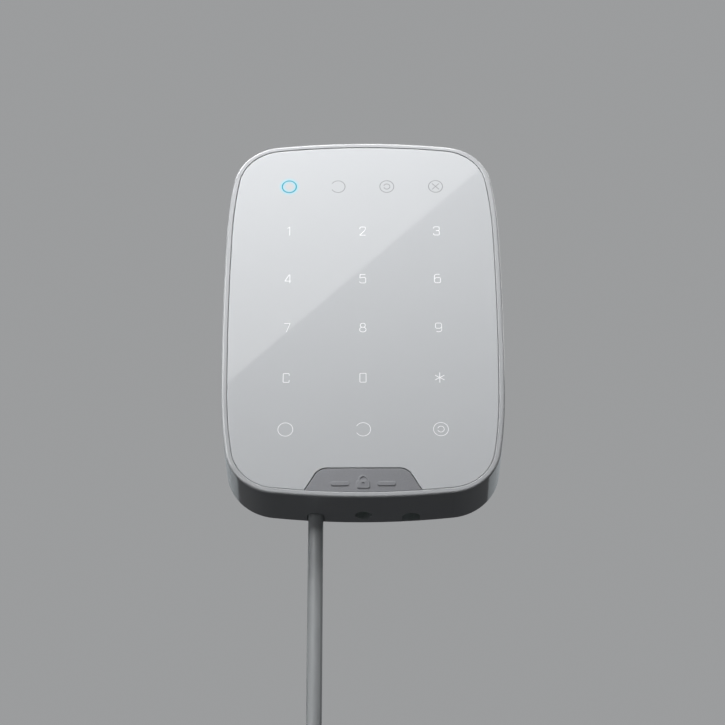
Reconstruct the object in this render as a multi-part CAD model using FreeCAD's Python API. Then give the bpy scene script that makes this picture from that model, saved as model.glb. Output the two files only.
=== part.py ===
import FreeCAD, Part
import math
import os

from FreeCAD import Vector

# Alarm keypad panel for a wall. Millimetres, +Z up, +X to the right of a person
# who stands before it, -Y out of the wall. The origin is the middle of the wall
# bracket's rear face, which lies on the wall at Y = 0.

# ---------------------------------------------------------------- outline
HALF_WIDTH = 51.5
HALF_HEIGHT = 75.0
DEPTH = 21.0
TOP_RADIUS = 296.0
CORNER_RADIUS = 18.8
SHOULDER_RADIUS = 174.0
SIDE_RADIUS = 1307.0
SIDE_HALF_ANGLE = 1.5
DRAFT = 0.4

# ---------------------------------------------------------------- depths, front to back
RIM_FRONT = -DEPTH
WALL = 2.0
PANEL_GAP = 0.15
PANEL_FRONT = RIM_FRONT + 0.15
PANEL_THICK = 1.5
FRONT_ROUNDING = 0.8
EDGE_ROUNDING = 0.25
PANEL_BACK = PANEL_FRONT + PANEL_THICK
ADHESIVE_THICK = 0.3
LEDGE_FRONT = PANEL_BACK + ADHESIVE_THICK
LEDGE_THICK = 1.6
LEDGE_WIDTH = 4.0
LEDGE_BACK = LEDGE_FRONT + LEDGE_THICK
BOARD_FRONT = -16.8
BOARD_THICK = 1.6
BOARD_BACK = BOARD_FRONT + BOARD_THICK
BOARD_CUT = (BOARD_FRONT - 1.2, BOARD_BACK + 1.2)
COVER_FRONT = -7.0
COVER_THICK = 1.6
COVER_BACK = COVER_FRONT + COVER_THICK
COVER_CUT = (COVER_FRONT - 1.0, COVER_BACK + 1.4)
HOUSING_REAR = -0.4
BRACKET_FRONT = -2.0
SLIDE_GAP = 0.3

# ---------------------------------------------------------------- keys and status lights
KEY_COLUMNS = (-27.75, 0.0, 27.75)
KEY_ROW_PITCH = 20.85
TOP_KEY_ROW = 35.1
KEY_ROWS = [TOP_KEY_ROW - row * KEY_ROW_PITCH for row in range(5)]
STATUS_PITCH = 18.55
STATUS_COLUMNS = [STATUS_PITCH * (place - 1.5) for place in range(4)]
STATUS_HEIGHT = 55.1
TOUCH_PAD_RADIUS = 6.5
LED_BESIDE_KEY = 9.0

# ---------------------------------------------------------------- badge
BADGE_TOP = -63.6
BADGE_HALF_TOP = 15.6
BADGE_HALF_FOOT = 21.2
BADGE_CORNER = 5.0
BADGE_FACE = PANEL_FRONT + 0.2
ICON_ROUNDING = 0.12
ICON_MIDDLE = -69.2
PADLOCK_HALF_WIDTH = 2.3
BOW_OUTER = 1.75
BOW_INNER = 1.05
KEYHOLE_RADIUS = 0.55
BAR_LENGTH = 6.4
BAR_STARTS = (-11.4, 5.0)
SHELF_TOP = -61.5
SHELF_HALF = 25.0

# ---------------------------------------------------------------- lifting on and off the bracket
LIFT = 6.0
HOOK_X = 34.0
HOOK_HEIGHTS = (24.0, -26.0)
HOOK_WIDTH = 6.0
HOOK_STEM = 4.0
HOOK_LIP = 3.0
HOOK_SIDE_GAP = 0.5
LIP_THICK = 1.5
BRACKET_HALF_WIDTH = 44.0
BRACKET_TOP = 66.0
BRACKET_FOOT = -62.0
BRACKET_CORNER = 14.0
WALL_SCREW_X = 30.0
WALL_SCREW_Z = 44.0
WALL_SCREW_HOLE = 4.5
BRACKET_CUT = (BRACKET_FRONT - 1.0, 1.0)
ENTRY_HALF_WIDTH = 18.0
ENTRY_FOOT = -38.0
ENTRY_TOP = -8.0
ENTRY_CORNER = 5.0
CLAMP_ROOM_LEFT = -30.0
CLAMP_ROOM_RIGHT = -5.0
CLAMP_ROOM_TOP = -45.0
WINDOW_NEAR = 6.0
WINDOW_FAR = 22.0
WINDOW_FOOT = 34.0
WINDOW_TOP = 56.0
WINDOW_CORNER = 4.0
LOCK_HOLE_Y = -6.2
LOCK_HOLE = 6.0
LOCK_PILOT = 2.6
LOCK_TAB_HALF_WIDTH = 4.5
LOCK_TAB_TOP = -56.0
LOCK_HOOD_HALF_WIDTH = 5.0
LOCK_HOOD_THICK = 1.0
LOCK_HOOD_TOP = -69.5

# ---------------------------------------------------------------- tamper switch
TAMPER_Z = 6.0
PLUNGER_RADIUS = 1.8
PLUNGER_TIP = BRACKET_FRONT - SLIDE_GAP
PLUNGER_TAIL = -10.6
RAMP_RATIO = 0.15
PAD_HALF_WIDTH = 7.0
PAD_FOOT = 3.0
PAD_TOP = 24.0
PAD_SLOT = 1.2
PAD_BRIDGE = 2.0
PAD_SCREW_Z = 19.0

# ---------------------------------------------------------------- cable
CABLE = 5.4
CABLE_X = -17.0
CABLE_Y = -3.7
NOTCH_WIDTH = 6.4
NOTCH_DEPTH = 7.0
NOTCH_WEB = 0.5
NOTCH_WEB_TOP = -70.5
JACKET_END = -58.0
CONDUCTOR = 1.1
WAY_PITCH = 3.5
WAYS = 8
TERMINAL_FOOT = -46.0
TERMINAL_TOP = -38.4
TERMINAL_REAR = -6.9
WIRE_Y = -11.4
BAY_HALF_WIDTH = 30.0
BAY_TOP = -35.0
RIB_THICK = 1.2
RIB_FOOT = -66.0
CLAMP_FOOT = -68.0
CLAMP_TOP = -63.0
CLAMP_SCREW_SPACING = 13.0
CABLE_BED_REAR = CABLE_Y - 0.9

# The free cable hangs straight down, leans to the left and runs on to the outside
# of a tied coil, whose axis is along Y. It leaves the coil's left side downwards.
COIL_X = -17.0
COIL_Z = -222.0
COIL_OUTER_LANE = 36.0
COIL_TAIL_LANE = 33.2
COIL_FRONT_ROW_Y = -8.6
COIL_INNER = 22.1
COIL_OUTER = 38.7
COIL_REAR = -1.0
COIL_STEP = -6.0
COIL_FRONT = -11.3
COIL_FRONT_INNER = 24.8
COIL_FRONT_OUTER = 36.0
TIE_ANGLES = (70.0, 290.0)
TIE_SWEEP = 10.0
TIE_THICK = 0.9
JOIN_ANGLE = 135.0
TAIL_LENGTH = 36.0
TAIL_END = COIL_Z - TAIL_LENGTH
PLUG_TOP = TAIL_END - 8.0
PLUG_HIGH = 13.0
PLUG_WIDE = 15.4
PLUG_DEEP = 7.6

# screw columns of the housing, with the webs that tie them to its walls
BOSS_RADIUS = 3.2
BOSS_PILOT = 1.05
BOSS_WEB_REACH = 9.0
BOSS_WEB_THICK = 1.2
BOARD_PAD_RADIUS = 3.0
BOARD_PAD_REACH = 12.0
BOARD_PILOT = 0.8
CLAMP_PILOT = 1.0
BOSS_PLACES = [(x, z) for x in (-42.0, 42.0) for z in (-60.5, 60.5)]
BOSS_PLACES += [(x, 0.0) for x in (-45.0, 45.0)]
BOARD_SCREW_PLACES = [(x, z) for x in (-42.5, 42.5) for z in (-38.0, 42.0)]
TAU = 2.0 * math.pi


def save(name, shape):
    """Write one named piece."""
    shape.exportStep(os.path.join("parts", name + ".step"))


def block(x0, x1, y0, y1, z0, z1):
    return Part.makeBox(x1 - x0, y1 - y0, z1 - z0, Vector(x0, y0, z0))


def rod(x, z, y0, y1, radius):
    """A cylinder along Y."""
    return Part.makeCylinder(radius, y1 - y0, Vector(x, y0, z), Vector(0, 1, 0))


def upright(x, y, z0, z1, radius):
    """A cylinder along Z."""
    return Part.makeCylinder(radius, z1 - z0, Vector(x, y, z0), Vector(0, 0, 1))


def slab(corners, y0, y1):
    """A flat shape given by its (x, z) corners, thick from y0 to y1."""
    points = [Vector(x, y0, z) for x, z in corners]
    face = Part.Face(Part.makePolygon(points + points[:1]))
    return face.extrude(Vector(0, y1 - y0, 0))


def rounded_block(x0, x1, y0, y1, z0, z1, radius):
    """A block whose four edges along Y are rounded."""
    plain = block(x0, x1, y0, y1, z0, z1)
    edges = [edge for edge in plain.Edges if edge.BoundBox.YLength > (y1 - y0) * 0.9]
    return plain.makeFillet(radius, edges)


# ---------------------------------------------------------------- the panel's outline
def polar(centre, radius, angle):
    """The (x, z) point at an angle from +X about a centre."""
    return (centre[0] + radius * math.cos(angle), centre[1] + radius * math.sin(angle))


def meeting_point(centre_a, radius_a, centre_b, radius_b):
    """Where two circles cross, on the side away from the origin."""
    dx = centre_b[0] - centre_a[0]
    dz = centre_b[1] - centre_a[1]
    apart = math.hypot(dx, dz)
    along = (radius_a**2 - radius_b**2 + apart**2) / (2.0 * apart)
    aside = math.sqrt(radius_a**2 - along**2)
    foot = (centre_a[0] + along * dx / apart, centre_a[1] + along * dz / apart)
    ways = [
        (foot[0] + side * aside * dz / apart, foot[1] - side * aside * dx / apart)
        for side in (-1, 1)
    ]
    return max(ways, key=lambda point: min(point[0], point[1]))


def outline_arcs():
    """One quadrant's arcs as (centre, radius, first, last angle), from the top to the side."""
    top = (0.0, HALF_HEIGHT - TOP_RADIUS)
    side = (HALF_WIDTH - SIDE_RADIUS, 0.0)
    side_turn = math.radians(SIDE_HALF_ANGLE)
    shoulder = polar(side, SIDE_RADIUS - SHOULDER_RADIUS, side_turn)
    corner = meeting_point(
        top, TOP_RADIUS - CORNER_RADIUS, shoulder, SHOULDER_RADIUS - CORNER_RADIUS
    )
    top_turn = math.atan2(corner[1] - top[1], corner[0] - top[0])
    shoulder_turn = math.atan2(corner[1] - shoulder[1], corner[0] - shoulder[0])
    return [
        (top, TOP_RADIUS, math.pi / 2, top_turn),
        (corner, CORNER_RADIUS, top_turn, shoulder_turn),
        (shoulder, SHOULDER_RADIUS, shoulder_turn, side_turn),
        (side, SIDE_RADIUS, side_turn, 0.0),
    ]


def outline_face(inset, y):
    """The outline moved inwards by inset, as a face in the plane Y = y."""
    edges = []
    for flip_x, flip_z in ((1, 1), (1, -1), (-1, -1), (-1, 1)):
        for centre, radius, first, last in outline_arcs():
            places = [
                polar(centre, radius - inset, turn)
                for turn in (first, (first + last) / 2, last)
            ]
            points = [Vector(flip_x * x, y, flip_z * z) for x, z in places]
            edges.append(Part.Arc(*points).toShape())
    return Part.Face(Part.Wire(Part.__sortEdges__(edges)))


def outline_slab(inset, y0, y1):
    return outline_face(inset, y0).extrude(Vector(0, y1 - y0, 0))


# ---------------------------------------------------------------- tubes along a route
def tube_path(points):
    """Straight runs joined by tangent arcs; also gives the arcs' radii."""
    edges = []
    radii = []
    start = points[0]
    for before, corner, after in zip(points, points[1:], points[2:]):
        back = (before - corner).normalize()
        ahead = (after - corner).normalize()
        half_turn = (math.pi - back.getAngle(ahead)) / 2.0
        reach = 0.45 * min((before - corner).Length, (after - corner).Length)
        radius = reach / math.tan(half_turn)
        enter = corner + back * reach
        leave = corner + ahead * reach
        to_middle = (back + ahead).normalize()
        middle = corner + to_middle * (radius / math.cos(half_turn) - radius)
        edges.append(Part.LineSegment(start, enter).toShape())
        edges.append(Part.Arc(enter, middle, leave).toShape())
        radii.append(radius)
        start = leave
    edges.append(Part.LineSegment(start, points[-1]).toShape())
    return Part.Wire(edges), radii


def tube(points, diameter):
    """A round tube along a route."""
    path, radii = tube_path(points)
    way = (points[1] - points[0]).normalize()
    ring = Part.Wire(Part.makeCircle(diameter / 2.0, points[0], way))
    solid = path.makePipeShell([ring], True, False)
    return solid, path.Length, radii


# ---------------------------------------------------------------- fasteners
def rear_screw(x, z, seat, length, head_radius, head_high, shank_radius):
    """A cross-head screw that is driven in from the rear, with its head's underside at Y = seat."""
    head = rod(x, z, seat, seat + head_high, head_radius)
    rim = [edge for edge in head.Edges if edge.BoundBox.YMin > seat + head_high * 0.9]
    head = head.makeFillet(head_high * 0.35, rim)
    arm = head_radius * 0.5
    slot = head_radius * 0.14
    deep = seat + head_high * 0.45
    cross = [
        block(x - arm, x + arm, deep, seat + head_high, z - slot, z + slot),
        block(x - slot, x + slot, deep, seat + head_high, z - arm, z + arm),
    ]
    return head.fuse(rod(x, z, seat - length, seat, shank_radius)).cut(cross)


def soften_front(shape, y, radius):
    """Round every edge that lies in the plane Y = y."""
    edges = [
        edge
        for edge in shape.Edges
        if edge.BoundBox.YMax < y + 0.005 and edge.BoundBox.YMin > y - 0.005
    ]
    return shape.makeFillet(radius, edges)


def group(shapes):
    """Separate like solids kept in one node."""
    return Part.Compound([solid for shape in shapes for solid in shape.Solids])


# ---------------------------------------------------------------- wall bracket
def hook(x, z):
    """A stem that carries the keypad and a lip that turns up behind its rear cover."""
    half = HOOK_WIDTH / 2.0
    lip_front = COVER_FRONT - SLIDE_GAP - LIP_THICK
    stem = block(x - half, x + half, lip_front, BRACKET_FRONT, z, z + HOOK_STEM)
    lip_top = z + HOOK_STEM + HOOK_LIP
    lip = block(x - half, x + half, lip_front, lip_front + LIP_THICK, z, lip_top)
    return stem.fuse(lip)


def tamper_ramp():
    """The wedge cut from the break-away pad, along which the plunger comes out as the keypad lifts."""
    top_y = BRACKET_FRONT + RAMP_RATIO * (LIFT + 2.0)
    end_z = TAMPER_Z + LIFT + 2.0
    half = PLUNGER_RADIUS + 1.2
    corners = [
        Vector(-half, BRACKET_FRONT, TAMPER_Z),
        Vector(-half, top_y, end_z),
        Vector(-half, top_y, end_z + 1.5),
        Vector(-half, BRACKET_FRONT - 1.0, end_z + 1.5),
        Vector(-half, BRACKET_FRONT - 1.0, TAMPER_Z),
    ]
    face = Part.Face(Part.makePolygon(corners + corners[:1]))
    return face.extrude(Vector(2.0 * half, 0, 0))


def wall_bracket():
    plate = rounded_block(
        -BRACKET_HALF_WIDTH, BRACKET_HALF_WIDTH, BRACKET_FRONT, 0.0, BRACKET_FOOT, BRACKET_TOP,
        BRACKET_CORNER,
    )
    added = [hook(side * HOOK_X, z) for side in (-1, 1) for z in HOOK_HEIGHTS]
    lock_front = LOCK_HOLE_Y - LOCK_HOLE / 2.0
    added.append(
        block(
            -LOCK_TAB_HALF_WIDTH, LOCK_TAB_HALF_WIDTH, lock_front, BRACKET_FRONT, BRACKET_FOOT,
            LOCK_TAB_TOP,
        )
    )
    taken = [
        rod(side * WALL_SCREW_X, z, *BRACKET_CUT, WALL_SCREW_HOLE / 2.0)
        for side in (-1, 1)
        for z in (-WALL_SCREW_Z, WALL_SCREW_Z)
    ]
    # the opening for a cable that comes out of the wall
    taken.append(
        rounded_block(
            -ENTRY_HALF_WIDTH, ENTRY_HALF_WIDTH, *BRACKET_CUT, ENTRY_FOOT, ENTRY_TOP, ENTRY_CORNER
        )
    )
    # room for the surface cable and its clamp, over the whole lift
    taken.append(
        block(CLAMP_ROOM_LEFT, CLAMP_ROOM_RIGHT, *BRACKET_CUT, BRACKET_FOOT - 1.0, CLAMP_ROOM_TOP)
    )
    taken.append(
        upright(0.0, LOCK_HOLE_Y, BRACKET_FOOT - 1.0, LOCK_TAB_TOP + 1.0, LOCK_PILOT / 2.0)
    )
    # perforation round the break-away tamper pad; two bridges stay at the top and two at the foot
    outer = PAD_HALF_WIDTH + PAD_SLOT
    for side in (-1, 1):
        near, far = sorted((side * PAD_HALF_WIDTH, side * outer))
        taken.append(block(near, far, *BRACKET_CUT, PAD_FOOT, PAD_TOP))
    slot_half = PAD_HALF_WIDTH - PAD_BRIDGE
    for low in (PAD_FOOT - PAD_SLOT, PAD_TOP):
        taken.append(block(-slot_half, slot_half, *BRACKET_CUT, low, low + PAD_SLOT))
    taken.append(rod(0.0, PAD_SCREW_Z, *BRACKET_CUT, WALL_SCREW_HOLE / 2.0))
    taken.append(tamper_ramp())
    # openings that lighten the plate above the tamper pad
    for side in (-1, 1):
        left, right = sorted((side * WINDOW_NEAR, side * WINDOW_FAR))
        taken.append(
            rounded_block(left, right, *BRACKET_CUT, WINDOW_FOOT, WINDOW_TOP, WINDOW_CORNER)
        )
    return plate.multiFuse(added).cut(taken)


# ---------------------------------------------------------------- housing
def badge_corners(grow):
    """The badge's trapezium, made larger by grow on its top and slanted sides."""
    foot = -HALF_HEIGHT + WALL - 2.0
    slant = (BADGE_HALF_FOOT - BADGE_HALF_TOP) / (BADGE_TOP + HALF_HEIGHT - WALL)
    half_foot = BADGE_HALF_FOOT + slant * 2.0
    return [
        (-half_foot - grow, foot),
        (half_foot + grow, foot),
        (BADGE_HALF_TOP + grow, BADGE_TOP + grow),
        (-BADGE_HALF_TOP - grow, BADGE_TOP + grow),
    ]


def badge_slab(grow, y0, y1):
    plain = slab(badge_corners(grow), y0, y1)
    upper = [
        edge
        for edge in plain.Edges
        if edge.BoundBox.YLength > (y1 - y0) * 0.9 and edge.BoundBox.ZMin > BADGE_TOP - 1.0
    ]
    return plain.makeFillet(BADGE_CORNER + grow, upper)


def notch(x):
    """A slot for a surface cable, with a thin web left at the housing's rear edge."""
    radius = NOTCH_WIDTH / 2.0
    bottom = HOUSING_REAR + 0.4 - NOTCH_DEPTH + radius
    arch = upright(x, bottom, -HALF_HEIGHT - 3.0, -HALF_HEIGHT + WALL + 2.0, radius)
    mouth = block(
        x - radius, x + radius, bottom, HOUSING_REAR - NOTCH_WEB, -HALF_HEIGHT - 3.0,
        -HALF_HEIGHT + WALL + 2.0,
    )
    return arch.fuse(mouth)


def drafted_body():
    """The housing's outside, whose walls lean out towards the rear so that it leaves its mould."""
    front = outline_face(0.0, RIM_FRONT).OuterWire
    rear = outline_face(-DRAFT, HOUSING_REAR).OuterWire
    return Part.makeLoft([front, rear], True, True)


def front_housing():
    body = drafted_body()
    front_edges = [edge for edge in body.Edges if edge.BoundBox.YMax < RIM_FRONT + 0.01]
    body = body.makeFillet(FRONT_ROUNDING, front_edges)
    window = outline_slab(WALL + LEDGE_WIDTH, RIM_FRONT, LEDGE_BACK + 1.0)
    window = window.cut(
        block(-SHELF_HALF, SHELF_HALF, RIM_FRONT, LEDGE_BACK + 1.0, -HALF_HEIGHT, SHELF_TOP)
    )
    body = body.cut([
        outline_slab(WALL, RIM_FRONT - 1.0, LEDGE_FRONT),
        outline_slab(WALL, LEDGE_BACK, 1.0),
        window,
    ])
    rim_wire = outline_face(WALL, RIM_FRONT).OuterWire
    rim_inner = []
    for edge in body.Edges:
        middle = edge.valueAt((edge.FirstParameter + edge.LastParameter) / 2.0)
        off_rim = Part.Vertex(middle).distToShape(rim_wire)[0]
        if edge.BoundBox.YMax < RIM_FRONT + 0.005 and off_rim < 0.01:
            rim_inner.append(edge)
    body = body.makeFillet(EDGE_ROUNDING, rim_inner)
    cavity = outline_slab(WALL - 0.5, LEDGE_BACK, COVER_FRONT)
    added = []
    for x, z in BOSS_PLACES:
        column = rod(x, z, LEDGE_BACK, COVER_FRONT, BOSS_RADIUS)
        web_z = z if abs(z) < 1.0 else z + math.copysign(BOSS_WEB_THICK, z)
        left, right = sorted((x, x + math.copysign(BOSS_WEB_REACH, x)))
        web_low = web_z - BOSS_WEB_THICK / 2.0
        web = block(left, right, LEDGE_BACK, COVER_FRONT, web_low, web_low + BOSS_WEB_THICK)
        added.append(column.fuse(web).common(cavity))
    for x, z in BOARD_SCREW_PLACES:
        left, right = sorted((x, x + math.copysign(BOARD_PAD_REACH, x)))
        arm = block(
            left, right, LEDGE_FRONT, BOARD_FRONT, z - BOARD_PAD_RADIUS, z + BOARD_PAD_RADIUS
        )
        pad = rod(x, z, LEDGE_FRONT, BOARD_FRONT, BOARD_PAD_RADIUS).fuse(arm)
        added.append(pad.common(outline_slab(WALL - 0.5, LEDGE_FRONT, BOARD_FRONT)))
    # the block that the cable lies on, under its clamp
    half_clamp = CLAMP_SCREW_SPACING / 2.0 + 3.5
    added.append(
        block(
            CABLE_X - half_clamp, CABLE_X + half_clamp, LEDGE_BACK, CABLE_BED_REAR,
            CLAMP_FOOT - 0.5, CLAMP_TOP + 0.5,
        )
    )
    # a hood behind the lock screw's hole keeps light and dust from the gap at the wall
    hood_front = LOCK_HOLE_Y + LOCK_HOLE / 2.0
    added.append(
        block(
            -LOCK_HOOD_HALF_WIDTH, LOCK_HOOD_HALF_WIDTH, hood_front, hood_front + LOCK_HOOD_THICK,
            -HALF_HEIGHT + WALL / 2.0, LOCK_HOOD_TOP,
        )
    )
    # each notch's web runs on upwards behind it, so that nothing shows past the cable
    web_half = NOTCH_WIDTH / 2.0 + 0.5
    for x in (CABLE_X, -CABLE_X):
        added.append(
            block(
                x - web_half, x + web_half, HOUSING_REAR - NOTCH_WEB, HOUSING_REAR,
                -HALF_HEIGHT + WALL / 2.0, NOTCH_WEB_TOP,
            )
        )
    body = body.multiFuse(added)
    taken = [notch(CABLE_X), notch(-CABLE_X)]
    taken.append(
        upright(
            0.0, LOCK_HOLE_Y, -HALF_HEIGHT - 1.0, -HALF_HEIGHT + WALL + 1.0, LOCK_HOLE / 2.0
        )
    )
    taken.append(upright(CABLE_X, CABLE_Y, CLAMP_FOOT - 1.0, CLAMP_TOP + 1.0, CABLE / 2.0))
    for side in (-1, 1):
        x = CABLE_X + side * CLAMP_SCREW_SPACING / 2.0
        taken.append(rod(x, (CLAMP_FOOT + CLAMP_TOP) / 2.0, CABLE_Y - 8.9, CABLE_Y, CLAMP_PILOT))
    for x, z in BOSS_PLACES:
        taken.append(rod(x, z, COVER_FRONT - 7.5, COVER_FRONT + 1.0, BOSS_PILOT))
    for x, z in BOARD_SCREW_PLACES:
        taken.append(rod(x, z, LEDGE_FRONT + 0.3, BOARD_FRONT + 1.0, BOARD_PILOT))
    return body.cut(taken)


# ---------------------------------------------------------------- front stack
def touch_panel():
    plate = outline_slab(WALL + PANEL_GAP, PANEL_FRONT, PANEL_BACK)
    plate = plate.cut(badge_slab(PANEL_GAP, PANEL_FRONT - 1.0, PANEL_BACK + 1.0))
    return soften_front(plate, PANEL_FRONT, EDGE_ROUNDING)


def panel_adhesive():
    ring = outline_slab(WALL + 0.6, PANEL_BACK, LEDGE_FRONT)
    inside = outline_slab(WALL + LEDGE_WIDTH - 0.3, PANEL_BACK, LEDGE_FRONT)
    below = block(-SHELF_HALF, SHELF_HALF, PANEL_BACK, LEDGE_FRONT, -HALF_HEIGHT, SHELF_TOP)
    ring = ring.cut(inside.cut(below))
    return ring.cut(badge_slab(0.8, PANEL_BACK - 1.0, LEDGE_FRONT + 1.0))


def badge_icon():
    """A plain padlock between two short bars, raised from the badge."""
    rise = PANEL_FRONT - 0.05
    base = BADGE_FACE + 0.1
    lock = rounded_block(
        -PADLOCK_HALF_WIDTH, PADLOCK_HALF_WIDTH, rise, base, ICON_MIDDLE - 2.2, ICON_MIDDLE + 0.9, 0.6
    )
    bow_z = ICON_MIDDLE + 1.2
    bow = rod(0.0, bow_z, rise, base, BOW_OUTER)
    bow = bow.cut(rod(0.0, bow_z, rise - 1.0, base + 1.0, BOW_INNER))
    keyhole = rod(0.0, ICON_MIDDLE - 0.5, rise - 1.0, base, KEYHOLE_RADIUS)
    bars = [
        rounded_block(
            left, left + BAR_LENGTH, rise, base, ICON_MIDDLE - 1.2, ICON_MIDDLE + 0.4, 0.7
        )
        for left in BAR_STARTS
    ]
    lock, bow, *bars = [soften_front(mark, rise, ICON_ROUNDING) for mark in [lock, bow] + bars]
    return [lock.fuse(bow).cut(keyhole)] + bars


def badge_plate():
    plate = badge_slab(0.0, BADGE_FACE, LEDGE_FRONT)
    plate = plate.common(outline_slab(WALL + PANEL_GAP, BADGE_FACE, LEDGE_FRONT))
    return soften_front(plate, BADGE_FACE, EDGE_ROUNDING).multiFuse(badge_icon())


GUIDE_BOX = (-40.0, 40.0, -58.0, 44.0)
GUIDE_FRONT = -19.0
GUIDE_BACK = -17.0
GUIDE_CUT = (GUIDE_FRONT - 1.0, GUIDE_BACK + 1.0)
SCREW_PAD_ROOM = 3.6
DIFFUSER_FRONT = PANEL_BACK + 0.05


def key_places():
    return [(x, z) for z in KEY_ROWS for x in KEY_COLUMNS]


def clear_of_screw_pads(shape):
    """Cut room for the pads and arms that carry the board's screws."""
    taken = []
    for x, z in BOARD_SCREW_PLACES:
        left, right = sorted((x, x + math.copysign(BOARD_PAD_REACH, x)))
        taken.append(rod(x, z, *GUIDE_CUT, SCREW_PAD_ROOM))
        taken.append(block(left, right, *GUIDE_CUT, z - SCREW_PAD_ROOM, z + SCREW_PAD_ROOM))
    return shape.cut(taken)


def light_guide():
    x0, x1, z0, z1 = GUIDE_BOX
    plate = clear_of_screw_pads(rounded_block(x0, x1, GUIDE_FRONT, GUIDE_BACK, z0, z1, 3.0))
    pockets = [
        block(x + LED_BESIDE_KEY - 1.3, x + LED_BESIDE_KEY + 1.3, *GUIDE_CUT, z - 0.9, z + 0.9)
        for x, z in key_places()
    ]
    return plate.cut(pockets)


def diffuser_sheet():
    x0, x1, z0, z1 = GUIDE_BOX
    sheet = rounded_block(x0, x1, DIFFUSER_FRONT, GUIDE_FRONT - 0.05, z0, z1, 3.0)
    return clear_of_screw_pads(sheet)


def indicator_shroud():
    """The opaque bar that keeps the four status lights apart."""
    bar = rounded_block(-35.0, 35.0, GUIDE_FRONT, BOARD_FRONT - 0.1, STATUS_HEIGHT - 6.0,
                        STATUS_HEIGHT + 6.0, 2.5)
    bar = clear_of_screw_pads(bar)
    return bar.cut([rod(x, STATUS_HEIGHT, *GUIDE_CUT, 3.4) for x in STATUS_COLUMNS])


def indicator_lenses():
    return group([
        rod(x, STATUS_HEIGHT, GUIDE_FRONT, GUIDE_FRONT + 1.3, 3.3) for x in STATUS_COLUMNS
    ])


# ---------------------------------------------------------------- circuit board and what it carries
def touch_board():
    board = outline_slab(WALL + 1.0, BOARD_FRONT, BOARD_BACK)
    taken = [rod(x, z, *BOARD_CUT, BOSS_RADIUS + 0.7) for x, z in BOSS_PLACES]
    for x, z in BOSS_PLACES:
        left, right = sorted((x, x + math.copysign(BOSS_WEB_REACH, x)))
        taken.append(block(left, right, *BOARD_CUT, z - 2.4, z + 2.4))
    taken += [rod(x, z, *BOARD_CUT, 1.1) for x, z in BOARD_SCREW_PLACES]
    # the cable's block stands through a bay at the board's foot
    half_clamp = CLAMP_SCREW_SPACING / 2.0 + 4.2
    taken.append(
        block(
            CABLE_X - half_clamp, CABLE_X + half_clamp, *BOARD_CUT, -HALF_HEIGHT, CLAMP_TOP + 1.2
        )
    )
    return board.cut(taken)


def chip(x, z, wide, high, thick, pins_per_side, pitch):
    """A flat package on the board's rear face, with gull-wing pins on its left and right sides."""
    low = BOARD_BACK + 0.1
    pieces = [block(x - wide / 2, x + wide / 2, low, low + thick, z - high / 2, z + high / 2)]
    first = z - (pins_per_side - 1) * pitch / 2.0
    for side in (-1, 1):
        edge = x + side * wide / 2.0
        for pin in range(pins_per_side):
            at = first + pin * pitch
            left, right = sorted((edge, edge + side * 1.0))
            half_pin = pitch * 0.22
            pieces.append(
                block(left, right, BOARD_BACK, BOARD_BACK + 0.3, at - half_pin, at + half_pin)
            )
    return pieces[0].multiFuse(pieces[1:])


def chip_parts(places, wide, high, thick):
    """Small two-ended chip parts on the board's rear face."""
    return group([
        block(x - wide / 2, x + wide / 2, BOARD_BACK, BOARD_BACK + thick, z - high / 2, z + high / 2)
        for x, z in places
    ])


def electrolytic(x, z):
    can = rod(x, z, BOARD_BACK + 0.6, BOARD_BACK + 5.6, 2.5)
    base = block(x - 2.7, x + 2.7, BOARD_BACK, BOARD_BACK + 0.6, z - 2.7, z + 2.7)
    return can.fuse(base)


def board_pieces():
    """Everything soldered to the board, as (name, shape)."""
    lamp_places = [(x + LED_BESIDE_KEY, z) for x, z in key_places()]
    lamps = [
        block(x - 0.8, x + 0.8, BOARD_FRONT - 0.7, BOARD_FRONT, z - 0.4, z + 0.4)
        for x, z in lamp_places
    ]
    status_lamps = [
        block(
            x - 1.0, x + 1.0, BOARD_FRONT - 0.7, BOARD_FRONT, STATUS_HEIGHT - 0.65,
            STATUS_HEIGHT + 0.65,
        )
        for x in STATUS_COLUMNS
    ]
    pads = [
        rod(x, z, BOARD_FRONT - 0.1, BOARD_FRONT, TOUCH_PAD_RADIUS) for x, z in key_places()
    ]
    crystal = rounded_block(8.0, 13.0, BOARD_BACK, BOARD_BACK + 1.1, -2.6, 0.6, 0.5)
    inductor = rounded_block(15.0, 21.0, BOARD_BACK, BOARD_BACK + 3.0, -30.0, -24.0, 1.2)
    regulator = chip(8.0, -26.0, 4.0, 5.0, 1.4, 4, 1.27)
    small_capacitors = [(x, z) for x in (-9.5, -5.0, 5.0) for z in (9.0, -9.5, -16.0)]
    resistors = [(-22.0 + 2.6 * place, 30.0) for place in range(16)]
    return [
        ("key_leds", group(lamps)),
        ("status_leds", group(status_lamps)),
        ("touch_pads", group(pads)),
        ("microcontroller", chip(0.0, -3.0, 10.0, 10.0, 1.4, 12, 0.8)),
        ("touch_controller", chip(0.0, 22.0, 7.0, 9.7, 1.2, 14, 0.65)),
        ("bus_transceiver", chip(-8.0, -26.0, 4.0, 5.0, 1.4, 4, 1.27)),
        ("voltage_regulator", regulator),
        ("quartz_crystal", crystal),
        ("power_inductor", inductor),
        ("electrolytic_capacitors", group([electrolytic(x, -30.0) for x in (-22.0, -15.5)])),
        ("ceramic_capacitors", chip_parts(small_capacitors, 1.6, 0.8, 0.8)),
        ("chip_resistors", chip_parts(resistors, 0.8, 1.6, 0.5)),
    ]


SOUNDER_X = 22.0
SOUNDER_Z = 6.0
SOUNDER_RADIUS = 6.0
SOUNDER_REAR = BOARD_BACK + 5.6


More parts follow.
